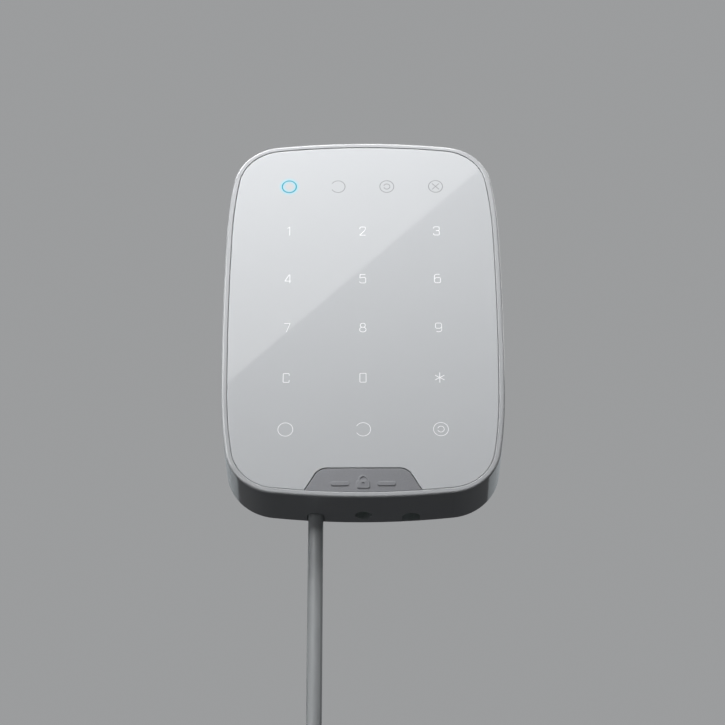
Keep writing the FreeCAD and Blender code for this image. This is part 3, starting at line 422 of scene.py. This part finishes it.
# ---------------------------------------------------------------- touch panel
# One flat sheet, painted light grey behind a clear polished face, so it shows a sharp
# mirror image over an even colour. A soft cyan glow round the lit status ring is painted
# into the sheet's base colour and emission.
KEY_COLUMNS = (-27.75 * MM, 0.0, 27.75 * MM)
KEY_ROW_PITCH = 20.85 * MM
TOP_KEY_ROW = 35.1 * MM
STATUS_PITCH = 18.55 * MM
STATUS_HEIGHT = 55.1 * MM
STATUS_COLUMNS = [STATUS_PITCH * (place - 1.5) for place in range(4)]
RING_RADIUS = 2.65 * MM
PAINTED_GLOW_TINT = (0.30, 0.66, 0.74)
HALO_LIGHT = (0.0, 0.14, 0.22)
GLOW_REACH = 1.7 * MM
PANEL_DARK = (0.638, 0.655, 0.675)
PANEL_LIGHT = (0.658, 0.675, 0.695)
panel_finish = Finish(
    "touch_panel_gloss",
    PANEL_LIGHT,
    0.035,
    coat_weight=1.0,
    coat_roughness=0.015,
    emission_strength=1.0,
)
panel_finish.feed("Roughness", panel_finish.grain(0.01, 5.0) * 0.02 + 0.025)
# Painted glow: near the lit status ring the panel's base colour is tinted cyan and the panel
# emits a faint cyan light.
across = panel_finish.along("X") - STATUS_COLUMNS[0]
up = panel_finish.along("Z") - STATUS_HEIGHT
from_ring = ((across * across + up * up) ** 0.5 - RING_RADIUS).size()
glow = (1.0 - from_ring / GLOW_REACH).at_least(0.0) ** 2.0
paint = panel_finish.tint(panel_finish.grain(0.04, 2.0), PANEL_DARK, PANEL_LIGHT)
paint_with_painted_glow = panel_finish.node(
    "ShaderNodeMix",
    {"data_type": "RGBA"},
    {0: glow, 6: paint, 7: (*PAINTED_GLOW_TINT, 1.0)},
    out=2,
)
panel_finish.feed("Base Color", paint_with_painted_glow)
glowing = panel_finish.node(
    "ShaderNodeMix",
    {"data_type": "RGBA"},
    {0: glow, 6: (0.0, 0.0, 0.0, 1.0), 7: (*HALO_LIGHT, 1.0)},
    out=2,
)
panel_finish.feed("Emission Color", glowing)
panel_finish.cover("touch_panel")


# ---------------------------------------------------------------- marks on the panel
# The numerals and function marks are hairline windows in the paint, lit white from behind.
# Of the four status marks only the first is lit; the others show as thin grey lines. Each
# mark is made of flat strokes, let half their thickness into the panel's face.
STROKE = 0.26 * MM
RING_STROKE = 0.22 * MM
STATUS_STROKE = 0.25 * MM
LIT_STROKE = 0.42 * MM
STROKE_FLATNESS = 0.12
STROKE_SIDES = 2
RING_STEPS = 24
face_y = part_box("touch_panel")[0].y

mark_white = Finish("mark_lit_white", (0.85, 0.86, 0.88), 0.08, emission_strength=0.30)
white_light = mark_white.grain(0.002, 1.0) * 0.06 + 0.94
mark_white.feed("Emission Color", white_light)
mark_white.feed("Roughness", mark_white.grain(0.004) * 0.05 + 0.05)
mark_grey = Finish("mark_unlit_grey", (0.26, 0.27, 0.29), 0.08)
mark_grey.tint(mark_grey.grain(0.002, 1.0), (0.25, 0.26, 0.28), (0.29, 0.30, 0.32))
mark_cyan = Finish("mark_lit_cyan", (0.01, 0.22, 0.29), 0.08, emission_strength=0.2)
cyan_light = mark_cyan.node(
    "ShaderNodeMix",
    {"data_type": "RGBA"},
    {0: mark_cyan.grain(0.0015, 1.0), 6: (0.03, 0.42, 0.68, 1.0), 7: (0.06, 0.52, 0.80, 1.0)},
    out=2,
)
mark_cyan.feed("Emission Color", cyan_light)

# Each stroke is its control points, in millimetres across and up from the key's centre.
SIX = [
    (0.8, 1.72), (0.1, 1.95), (-1.12, 1.6), (-1.12, 0.2), (-1.12, -1.82), (0.0, -1.82),
    (1.12, -1.82), (1.12, -0.7), (1.12, 0.38), (0.0, 0.38), (-0.8, 0.38), (-1.1, -0.3),
]
ZERO = [
    (-0.45, 1.82), (-1.12, 1.82), (-1.12, 1.1), (-1.12, -1.1), (-1.12, -1.82), (-0.45, -1.82),
    (0.45, -1.82), (1.12, -1.82), (1.12, -1.1), (1.12, 1.1), (1.12, 1.82), (0.45, 1.82),
]
NUMERALS = [
    [[(0.35, 1.85), (0.35, -1.85)], [(0.35, 1.85), (-0.5, 1.3)]],
    [
        [
            (-1.05, 0.9), (-1.05, 1.82), (0.0, 1.82), (1.08, 1.82), (1.08, 0.75), (0.6, 0.0),
            (-1.08, -1.8),
        ],
        [(-1.08, -1.82), (1.1, -1.82)],
    ],
    [
        [
            (-1.05, 1.1), (-1.05, 1.82), (0.0, 1.82), (1.08, 1.82), (1.08, 0.95), (1.08, 0.12),
            (-0.2, 0.12),
        ],
        [
            (-0.2, 0.12), (1.12, 0.12), (1.12, -0.85), (1.12, -1.82), (0.0, -1.82), (-1.1, -1.82),
            (-1.1, -1.05),
        ],
    ],
    [
        [(0.5, 1.85), (-1.15, -0.95)],
        [(-1.15, -0.95), (1.15, -0.95)],
        [(0.72, 1.85), (0.72, -1.85)],
    ],
    [
        [(1.0, 1.82), (-0.95, 1.82)],
        [(-0.95, 1.82), (-1.05, 0.3)],
        [
            (-1.05, 0.3), (-0.3, 0.55), (1.12, 0.55), (1.12, -0.6), (1.12, -1.82), (0.0, -1.82),
            (-1.1, -1.82), (-1.1, -1.2),
        ],
    ],
    [SIX],
    [[(-1.1, 1.82), (1.1, 1.82)], [(1.1, 1.82), (-0.3, -1.85)]],
    [
        [(-0.9, 1.82), (-0.9, 0.12), (0.9, 0.12), (0.9, 1.82)],
        [(-1.15, 0.12), (-1.15, -1.82), (1.15, -1.82), (1.15, 0.12)],
    ],
    [[(-x, -z) for x, z in SIX]],
    [[
        (1.1, 0.95), (1.1, 1.82), (0.4, 1.82), (-0.4, 1.82), (-1.1, 1.82), (-1.1, 1.1),
        (-1.1, -1.1), (-1.1, -1.82), (-0.4, -1.82), (0.4, -1.82), (1.1, -1.82), (1.1, -0.95),
    ]],
    [ZERO],
    [[(0.0, 2.1), (0.0, -2.1)], [(-1.7, 0.95), (1.7, -0.95)], [(-1.7, -0.95), (1.7, 0.95)]],
]
CLOSED_NUMERALS = {7, 10}


def flatten(piece):
    """Press round strokes flat against the panel's face."""
    choose(piece)
    bpy.ops.object.mode_set(mode="EDIT")
    bpy.ops.mesh.select_all(action="SELECT")
    bpy.ops.transform.resize(
        value=(1.0, STROKE_FLATNESS, 1.0), center_override=(0.0, face_y, 0.0)
    )
    bpy.ops.object.mode_set(mode="OBJECT")


def mark_piece(name, lines, closed, stroke, finish):
    """One flat mark of several strokes, riding on the keypad."""
    piece = wire_piece(name, lines, stroke, finish, STROKE_SIDES, closed)
    flatten(piece)
    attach(piece, "keypad")


def ring_line(x, z, radius, gap=0.0):
    """A circle's control points, closed, or open to the left by a gap in degrees."""
    first = math.pi + math.radians(gap) / 2.0
    sweep = math.tau - math.radians(gap)
    count = RING_STEPS + 1 if gap else RING_STEPS
    reach = radius / math.cos(sweep / RING_STEPS / 2.0)
    turns = [first + sweep * step / RING_STEPS for step in range(count)]
    return [(x + reach * math.cos(turn), face_y, z + reach * math.sin(turn)) for turn in turns]


numeral_lines = []
numeral_closed = set()
for number, strokes in enumerate(NUMERALS):
    key_x = KEY_COLUMNS[number % 3]
    key_z = TOP_KEY_ROW - KEY_ROW_PITCH * (number // 3)
    for stroke in strokes:
        if number in CLOSED_NUMERALS:
            numeral_closed.add(len(numeral_lines))
        numeral_lines.append([(key_x + x * MM, face_y, key_z + z * MM) for x, z in stroke])
mark_piece("key_numerals", numeral_lines, numeral_closed, STROKE, mark_white)

OPEN_GAP = 60.0
INNER_GAP = 36.0
INNER_RADIUS = 1.17 * MM
function_row = TOP_KEY_ROW - KEY_ROW_PITCH * 4
function_lines = [
    ring_line(KEY_COLUMNS[0], function_row, RING_RADIUS),
    ring_line(KEY_COLUMNS[1], function_row, RING_RADIUS, OPEN_GAP),
    ring_line(KEY_COLUMNS[2], function_row, RING_RADIUS),
    ring_line(KEY_COLUMNS[2], function_row, INNER_RADIUS, INNER_GAP),
]
mark_piece("function_marks", function_lines, {0, 2}, RING_STROKE, mark_white)

lit_line = ring_line(STATUS_COLUMNS[0], STATUS_HEIGHT, RING_RADIUS)
mark_piece("lit_status_ring", [lit_line], {0}, LIT_STROKE, mark_cyan)

cross = RING_RADIUS * 0.5
status_lines = [
    ring_line(STATUS_COLUMNS[1], STATUS_HEIGHT, RING_RADIUS, OPEN_GAP),
    ring_line(STATUS_COLUMNS[2], STATUS_HEIGHT, RING_RADIUS),
    ring_line(STATUS_COLUMNS[2], STATUS_HEIGHT, INNER_RADIUS, INNER_GAP),
    ring_line(STATUS_COLUMNS[3], STATUS_HEIGHT, RING_RADIUS),
]
for side in (-1, 1):
    status_lines.append([
        (STATUS_COLUMNS[3] - side * cross, face_y, STATUS_HEIGHT - cross),
        (STATUS_COLUMNS[3] + side * cross, face_y, STATUS_HEIGHT + cross),
    ])
mark_piece("unlit_status_marks", status_lines, {1, 3}, STATUS_STROKE, mark_grey)


# ---------------------------------------------------------------- badge plate
# A grey trapezium let into the panel's lower edge, sprayed with a fine metallic paint, with
# a plain padlock and two bars raised from it.
badge_finish = Finish("badge_metallic_grey", (0.30, 0.305, 0.325), 0.34, 0.35)
FLAKE_SCALE = 9000.0
flakes = badge_finish.node(
    "ShaderNodeTexVoronoi", {}, {"Vector": badge_finish.place, "Scale": FLAKE_SCALE}, out="Color"
)
flake_share = badge_finish.node("ShaderNodeSeparateColor", {}, {0: flakes})
badge_finish.tint(flake_share, (0.285, 0.29, 0.31), (0.335, 0.34, 0.36))
badge_finish.feed("Roughness", flake_share * 0.1 + 0.3)
badge_finish.relief(badge_finish.grain(0.00015), 0.00001, 0.4)
badge_finish.cover("badge_plate")


# ---------------------------------------------------------------- surface cable
# A round four-core alarm cable in a grey PVC jacket. It hangs straight down from the left
# notch, and the rest of its length is wound into a tied coil that hangs from it. Its tail
# ends in a plug-in terminal. Its line repeats the CAD route.
CABLE = 5.4 * MM
CABLE_SIDES = 6
CABLE_X = -17.0 * MM
CABLE_Y = -3.7 * MM
CABLE_EXIT_Z = -75.0 * MM
LEAD_STRAIGHT_Z = -135.0 * MM
LEAD_TURN_Z = -171.1 * MM
COIL_X = -17.0 * MM
COIL_Z = -222.0 * MM
TAIL_END_Z = -258.0 * MM
TAIL_SHARES = (0.45, 1.0)
JOIN_ANGLE = 135.0
LEAVE_ANGLE = 1620.0
COIL_STEP = 15.0
# Each lane of the coil: its radius, its depth and the angle by which the cable is in it.
LANES = [
    (36.0 * MM, -3.7 * MM, 135.0),
    (30.4 * MM, -3.7 * MM, 495.0),
    (24.8 * MM, -3.7 * MM, 795.0),
    (27.6 * MM, -8.6 * MM, 1095.0),
    (33.2 * MM, -8.6 * MM, 1395.0),
]
LANE_CHANGE = 60.0


def lane_at(angle):
    """Radius and depth of the cable in the coil, easing from one lane to the next."""
    radius, depth, _ = LANES[0]
    for next_radius, next_depth, reached in LANES[1:]:
        share = min(max((angle - reached + LANE_CHANGE) / LANE_CHANGE, 0.0), 1.0)
        share = share * share * (3.0 - 2.0 * share)
        radius += (next_radius - radius) * share
        depth += (next_depth - depth) * share
    return radius, depth


cable_points = [
    (CABLE_X, CABLE_Y, CABLE_EXIT_Z),
    (CABLE_X, CABLE_Y, LEAD_STRAIGHT_Z),
    (CABLE_X, CABLE_Y, LEAD_TURN_Z),
]
coil_steps = round((LEAVE_ANGLE - JOIN_ANGLE) / COIL_STEP)
for step in range(coil_steps):
    angle = JOIN_ANGLE + COIL_STEP * (step + 0.5)
    radius, depth = lane_at(angle)
    reach = radius / math.cos(math.radians(COIL_STEP / 2.0))
    turn = math.radians(angle)
    cable_points.append((COIL_X + reach * math.cos(turn), depth, COIL_Z + reach * math.sin(turn)))
tail_radius, tail_depth, _ = LANES[-1]
tail_x = COIL_X - tail_radius
for share in TAIL_SHARES:
    cable_points.append((tail_x, tail_depth, COIL_Z + (TAIL_END_Z - COIL_Z) * share))

JACKET_DARK = (0.40, 0.42, 0.43)
JACKET_LIGHT = (0.46, 0.48, 0.49)
jacket = moulded("cable_jacket_grey", JACKET_DARK, JACKET_LIGHT, 0.38, 0.0009, 0.00004)
jacket.cover("inner_cable")

cable = round_line("surface_cable", [cable_points], CABLE, CABLE_SIDES)
cable.data.materials.append(jacket.material)
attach(cable, "keypad")
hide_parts("bus_cable", "bus_cable_coil", "bus_cable_tail")


# ---------------------------------------------------------------- cable ties
# Two black nylon ties hold the coil's turns together. Each is a thin strap round the bundle
# with a square head on its front and a cut end that stands out of the head.
TIE_WIDTH = 3.6 * MM
TIE_THICK = 0.8 * MM
TIE_ANGLES = (70.0, 290.0)
TIE_CORNERS = [LANES[0], LANES[2], LANES[3], LANES[4]]
STRAP_CORNER_STEPS = 6
HEAD_SIZE = (4.8 * MM, 2.6 * MM, 5.4 * MM)
HEAD_ROUNDING = 0.5 * MM
HEAD_FORWARD = 1.3 * MM
CUT_END_SIZE = (7.0 * MM, 0.9 * MM, 3.2 * MM)
CUT_END_ROUNDING = 0.25 * MM
CUT_END_FORWARD = 1.6 * MM
CUT_END_OUT = 5.2 * MM
TIE_SMOOTH_ANGLE = 35.0
TIE_DARK = (0.010, 0.010, 0.011)
TIE_LIGHT = (0.022, 0.022, 0.023)
tie_finish = moulded("tie_black_nylon", TIE_DARK, TIE_LIGHT, 0.33, 0.0007, 0.00003)


def strap_line():
    """The strap's loop in the bundle's section, as (distance from the coil's axis, depth)."""
    line = []
    count = len(TIE_CORNERS)
    reach = (CABLE + TIE_THICK) / 2.0
    for place in range(count):
        before = Vector(TIE_CORNERS[place - 1][:2])
        here = Vector(TIE_CORNERS[place][:2])
        after = Vector(TIE_CORNERS[(place + 1) % count][:2])
        first = math.atan2(-(here - before).x, (here - before).y)
        last = math.atan2(-(after - here).x, (after - here).y)
        sweep = (last - first) % math.tau
        for step in range(STRAP_CORNER_STEPS + 1):
            turn = first + sweep * step / STRAP_CORNER_STEPS
            line.append((here.x + reach * math.cos(turn), here.y + reach * math.sin(turn)))
    return line


def tie_strap(name):
    """A strap round the bundle where the coil crosses +X from its axis."""
    curve = bpy.data.curves.new(name, "CURVE")
    curve.dimensions = "3D"
    spline = curve.splines.new("POLY")
    points = strap_line()
    spline.points.add(len(points) - 1)
    for point, (out, depth) in zip(spline.points, points):
        point.co = (out, depth, 0.0, 1.0)
    spline.use_cyclic_u = True
    curve.extrude = TIE_WIDTH / 2.0
    piece = bpy.data.objects.new(name, curve)
    bpy.context.scene.collection.objects.link(piece)
    choose(piece)
    bpy.ops.object.convert(target="MESH")
    piece = bpy.context.view_layer.objects.active
    thicken = piece.modifiers.new("thickness", "SOLIDIFY")
    thicken.thickness = TIE_THICK
    thicken.offset = 0.0
    bpy.ops.object.modifier_apply(modifier="thickness")
    return piece


def tie_block(middle, size, rounding):
    """A small block with rounded edges, for a tie's head or cut end."""
    bpy.ops.object.select_all(action="DESELECT")
    bpy.ops.mesh.primitive_cube_add(size=1.0, location=middle)
    piece = bpy.context.view_layer.objects.active
    piece.scale = size
    bpy.ops.object.transform_apply(location=True, rotation=True, scale=True)
    bpy.ops.object.mode_set(mode="EDIT")
    bpy.ops.mesh.select_all(action="SELECT")
    bpy.ops.mesh.bevel(offset=rounding, segments=2, affect="EDGES")
    bpy.ops.object.mode_set(mode="OBJECT")
    return piece


def join(pieces):
    """Make one piece out of several; the first one takes the others in."""
    bpy.ops.object.select_all(action="DESELECT")
    for piece in pieces:
        piece.select_set(True)
    bpy.context.view_layer.objects.active = pieces[0]
    bpy.ops.object.join()
    return bpy.context.view_layer.objects.active


tie_pieces = []
front_depth = LANES[4][1] - CABLE / 2.0
head_out = (LANES[3][0] + LANES[4][0]) / 2.0
head_middle = (head_out, front_depth - HEAD_FORWARD, 0.0)
cut_end_middle = (head_out + CUT_END_OUT, front_depth - CUT_END_FORWARD, 0.0)
for angle in TIE_ANGLES:
    tie = join([
        tie_strap("tie_strap"),
        tie_block(head_middle, HEAD_SIZE, HEAD_ROUNDING),
        tie_block(cut_end_middle, CUT_END_SIZE, CUT_END_ROUNDING),
    ])
    tie.rotation_euler = (0.0, -math.radians(angle), 0.0)
    tie.location = (COIL_X, 0.0, COIL_Z)
    bpy.ops.object.transform_apply(location=True, rotation=True, scale=True)
    tie_pieces.append(tie)
ties = join(tie_pieces)
ties.name = "nylon_coil_ties"
ties.data.materials.clear()
ties.data.materials.append(tie_finish.material)
bpy.ops.object.mode_set(mode="EDIT")
bpy.ops.mesh.select_all(action="SELECT")
bpy.ops.mesh.normals_make_consistent(inside=False)
bpy.ops.object.mode_set(mode="OBJECT")
bpy.ops.object.shade_smooth_by_angle(angle=math.radians(TIE_SMOOTH_ANGLE))
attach(ties, "keypad")
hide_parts("coil_ties")


# ---------------------------------------------------------------- plug on the cable's far end
# The tail's jacket is stripped back and its four cores fan out into the plug-in terminal.
# Each core leaves the jacket straight, bends once and goes straight down into its own way.
PLUG_WAY_PITCH = 3.5 * MM
MIDDLE_WAY = 1.5
PLUG_CORE = 1.1 * MM
PLUG_CORE_STARTS = ((-1.5, 0.4), (-0.4, -1.3), (0.4, 1.3), (1.5, -0.4))
CORE_IN_JACKET = 0.5 * MM
CORE_STRAIGHT = 2.4 * MM
CORE_ABOVE_PLUG = 1.8 * MM
CORE_IN_PLUG = 3.0 * MM
WAY_BEHIND_TAIL = 1.2 * MM
plug_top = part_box("bus_plug")[1].z
for way, (core, (dx, dy)) in enumerate(zip(CORE_COLOURS, PLUG_CORE_STARTS)):
    start = (tail_x + dx * MM, tail_depth + dy * MM)
    entry = (tail_x + (way - MIDDLE_WAY) * PLUG_WAY_PITCH, tail_depth + WAY_BEHIND_TAIL)
    line = [
        (*start, TAIL_END_Z + CORE_IN_JACKET),
        (*start, TAIL_END_Z - CORE_STRAIGHT),
        (*entry, plug_top + CORE_ABOVE_PLUG),
        (*entry, plug_top - CORE_IN_PLUG),
    ]
    piece = wire_piece("plug_core_" + core, [line], PLUG_CORE, core_finishes[core])
    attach(piece, "keypad")
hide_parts("plug_wires")


# ---------------------------------------------------------------- camera, lamps and floor
# The camera stands low and looks up at the panel. A square softbox makes the sharp diagonal
# image on the panel's upper left, and a lamp near it the slow fall of light across it. The
# screen behind shines off the lower corners, and two strips light the side walls softly.
LENS = 101.43
SENSOR_WIDTH = 36.0
NEAREST = 0.01
CAMERA_PLACE = (-0.00016, -0.6717, -0.3759)
CAMERA_PITCH = 28.591
CAMERA_ROLL = -0.155
camera_data = bpy.data.cameras.new("camera")
camera_data.lens = LENS
camera_data.sensor_width = SENSOR_WIDTH
camera_data.clip_start = NEAREST
camera = bpy.data.objects.new("camera", camera_data)
camera.location = CAMERA_PLACE
tilt = Matrix.Rotation(math.radians(90.0 + CAMERA_PITCH), 3, "X")
roll = Matrix.Rotation(math.radians(CAMERA_ROLL), 3, "Z")
camera.rotation_euler = (tilt @ roll).to_euler()
bpy.context.scene.collection.objects.link(camera)
bpy.context.scene.camera = camera


def area_lamp(name, place, size, power, aim=None, roll=0.0, spread=180.0):
    """A rectangular lamp; with no aim it faces straight along +Y."""
    data = bpy.data.lights.new(name, "AREA")
    data.shape = "RECTANGLE"
    data.size, data.size_y = size
    data.energy = power
    data.spread = math.radians(spread)
    lamp = bpy.data.objects.new(name, data)
    lamp.location = place
    if aim is None:
        lamp.rotation_euler = (math.radians(90.0), roll, 0.0)
    else:
        lamp.rotation_euler = (Vector(aim) - Vector(place)).to_track_quat("-Z", "Y").to_euler()
    lamp.visible_camera = False
    bpy.context.scene.collection.objects.link(lamp)
    return lamp


# The softbox's lower right edge runs through these two points, as seen in the panel.
EDGE_START = Vector((-0.122, -0.997, 0.491))
EDGE_END = Vector((0.107, -0.997, 0.716))
BOX_SIDE = 0.9
edge_way = (EDGE_END - EDGE_START).normalized()
edge_out = Vector((-edge_way.z, 0.0, edge_way.x))
box_middle = (EDGE_START + EDGE_END) / 2.0 + edge_out * BOX_SIDE / 2.0
box_roll = -math.atan2(edge_way.z, edge_way.x)
area_lamp("softbox", box_middle, (BOX_SIDE, BOX_SIDE), 2.4, roll=box_roll)

KEYPAD_MIDDLE = (0.0, 0.0, 0.0)
NEAR_BADGE = (0.0, 0.0, -0.06)
LEFT_LAMP_AIM = (0.03, 0.0, 0.14)
area_lamp("near_lamp", (-0.12, -0.30, 0.52), (0.50, 0.26), 3.9, aim=KEYPAD_MIDDLE)
area_lamp("left_lamp", (-0.36, -0.58, 0.28), (0.25, 0.25), 0.31, aim=LEFT_LAMP_AIM, spread=60.0)
area_lamp("low_lamp", (-0.42, -0.70, -0.05), (0.16, 0.16), 0.45, aim=NEAR_BADGE)

SCREEN_HEIGHT = 0.62
SCREEN_TINT = (0.91, 0.99, 1.03)
back_screen = area_lamp(
    "back_screen", (0.0, 1.3, SCREEN_HEIGHT), (2.4, 1.1), 2.65, aim=(0.0, 0.0, SCREEN_HEIGHT)
)
back_screen.data.color = SCREEN_TINT
area_lamp("back_lamp", (0.35, 0.75, 0.85), (1.0, 0.8), 6.0, aim=KEYPAD_MIDDLE)
for side in (-1, 1):
    area_lamp("side_strip", (side * 0.8, -0.10, 0.12), (0.25, 0.6), 0.45, aim=KEYPAD_MIDDLE)

FLOOR_Z = -1.0
FLOOR_SIDE = 12.0
bpy.ops.object.select_all(action="DESELECT")
bpy.ops.mesh.primitive_plane_add(size=FLOOR_SIDE, location=(0.0, 0.0, FLOOR_Z))
floor = bpy.context.view_layer.objects.active
floor.name = "floor"
floor.visible_diffuse = False
floor.visible_glossy = False
floor_finish = Finish("pale_floor", (0.25, 0.25, 0.25), 0.8, emission_strength=0.33)
floor_finish.tint(floor_finish.grain(0.2, 3.0), (0.24, 0.24, 0.24), (0.26, 0.26, 0.26))
floor.data.materials.append(floor_finish.material)

# The backdrop is pale to the eye and gives the object little light of its own.
world = bpy.data.worlds.new("studio")
world.use_nodes = True
bpy.context.scene.world = world
world_nodes = world.node_tree.nodes
world_links = world.node_tree.links
backdrop = world_nodes["Background"]
backdrop.inputs["Color"].default_value = (0.33, 0.335, 0.34, 1.0)
dim = world_nodes.new("ShaderNodeBackground")
dim.inputs["Color"].default_value = (0.042, 0.043, 0.045, 1.0)
seen = world_nodes.new("ShaderNodeLightPath")
choice = world_nodes.new("ShaderNodeMixShader")
world_links.new(seen.outputs["Is Camera Ray"], choice.inputs[0])
world_links.new(dim.outputs[0], choice.inputs[1])
world_links.new(backdrop.outputs[0], choice.inputs[2])
world_links.new(choice.outputs[0], world_nodes["World Output"].inputs["Surface"])
bpy.context.scene.view_settings.view_transform = "Standard"
